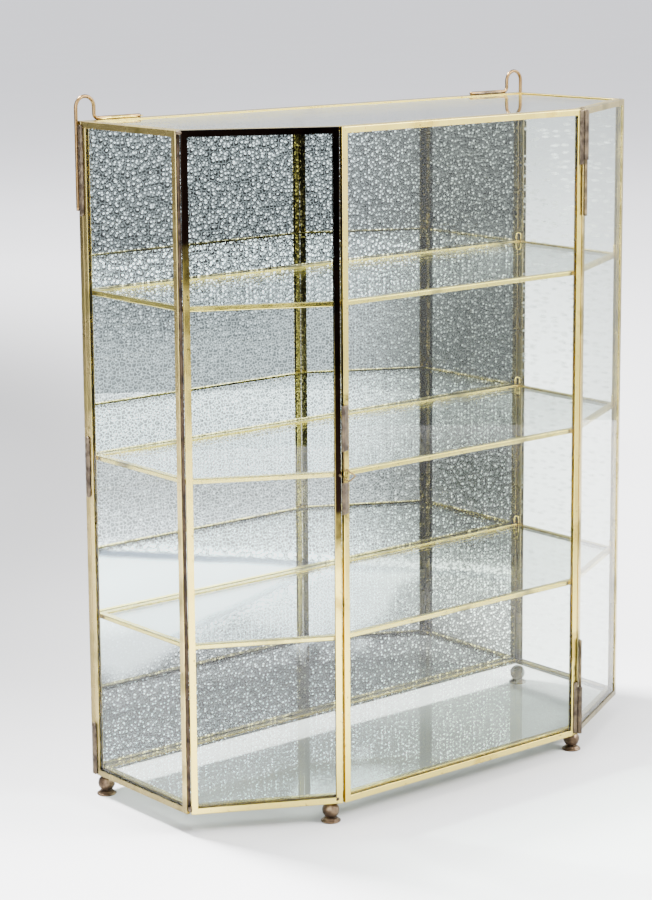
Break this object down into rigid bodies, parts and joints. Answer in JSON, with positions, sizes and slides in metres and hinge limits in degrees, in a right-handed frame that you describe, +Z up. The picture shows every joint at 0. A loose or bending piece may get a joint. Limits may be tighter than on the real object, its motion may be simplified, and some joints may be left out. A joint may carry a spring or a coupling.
{
  "type": "wall mounted showcase",
  "caption": "Wall showcase with a brass and glass case, angled front corners, mirror back, glass shelves, hinged front door, turning loop latch, ball feet and wire hangers.",
  "frame": {"origin": "centre of the bounding box, at the underside of the feet", "axes": "+Z up, +X to the viewer's right when facing the door, -Y out of the door, +Y to the wall"},
  "size_m": [0.4148, 0.1688, 0.488],
  "materials": {
    "polished_brass": "polished, lightly worn",
    "tarnished_brass": "dark brown tarnish",
    "clear_glass": "clear, polished",
    "mirror_glass": "silvered, pebbled"
  },
  "bodies": {
    "cabinet": {"left_side_frame": "polished_brass", "left_side_glass": "clear_glass", "right_side_frame": "polished_brass", "right_side_glass": "clear_glass", "left_facet_frame": "polished_brass", "left_facet_glass": "clear_glass", "right_facet_frame": "polished_brass", "right_facet_glass": "clear_glass", "top_frame": "polished_brass", "top_glass": "clear_glass", "floor_frame": "polished_brass", "floor_glass": "clear_glass", "upper_shelf_frame": "polished_brass", "upper_shelf_glass": "clear_glass", "middle_shelf_frame": "polished_brass", "middle_shelf_glass": "clear_glass", "lower_shelf_frame": "polished_brass", "lower_shelf_glass": "clear_glass", "back_frame": "polished_brass", "back_mirror": "mirror_glass", "front_left_foot": "tarnished_brass", "front_right_foot": "tarnished_brass", "back_left_foot": "tarnished_brass", "back_right_foot": "tarnished_brass", "left_hanger": "polished_brass", "left_corner_solder": "tarnished_brass", "left_lower_bead": "tarnished_brass", "left_middle_bead": "tarnished_brass", "left_upper_bead": "tarnished_brass", "right_hanger": "polished_brass", "right_corner_solder": "tarnished_brass", "right_lower_bead": "tarnished_brass", "right_middle_bead": "tarnished_brass", "right_upper_bead": "tarnished_brass", "upper_hinge_pin": "polished_brass", "lower_hinge_pin": "polished_brass", "catch_peg": "polished_brass", "upper_shelf_side_clip": "polished_brass", "upper_shelf_back_clip": "polished_brass", "middle_shelf_side_clip": "polished_brass", "middle_shelf_back_clip": "polished_brass", "lower_shelf_side_clip": "polished_brass", "lower_shelf_back_clip": "polished_brass"},
    "door": {"door_frame": "polished_brass", "door_glass": "clear_glass", "upper_hinge_sleeve": "tarnished_brass", "lower_hinge_sleeve": "tarnished_brass", "upper_hinge_solder": "tarnished_brass", "lower_hinge_solder": "tarnished_brass", "upper_latch_tube": "tarnished_brass", "lower_latch_tube": "tarnished_brass", "upper_latch_solder": "tarnished_brass", "lower_latch_solder": "tarnished_brass"},
    "latch": {"latch_wire": "tarnished_brass"}
  },
  "joints": [
    {"name": "door_hinge", "type": "hinge", "parent": "cabinet", "child": "door", "pos_m": [0.11172, -0.08067, 0.2425], "axis": [0, 0, 1], "range_deg": [0, 175]},
    {"name": "latch_turn", "type": "hinge", "parent": "door", "child": "latch", "pos_m": [-0.11175, -0.08027, 0.2408], "axis": [0, 0, -1], "range_deg": [0, 165]}
  ]
}
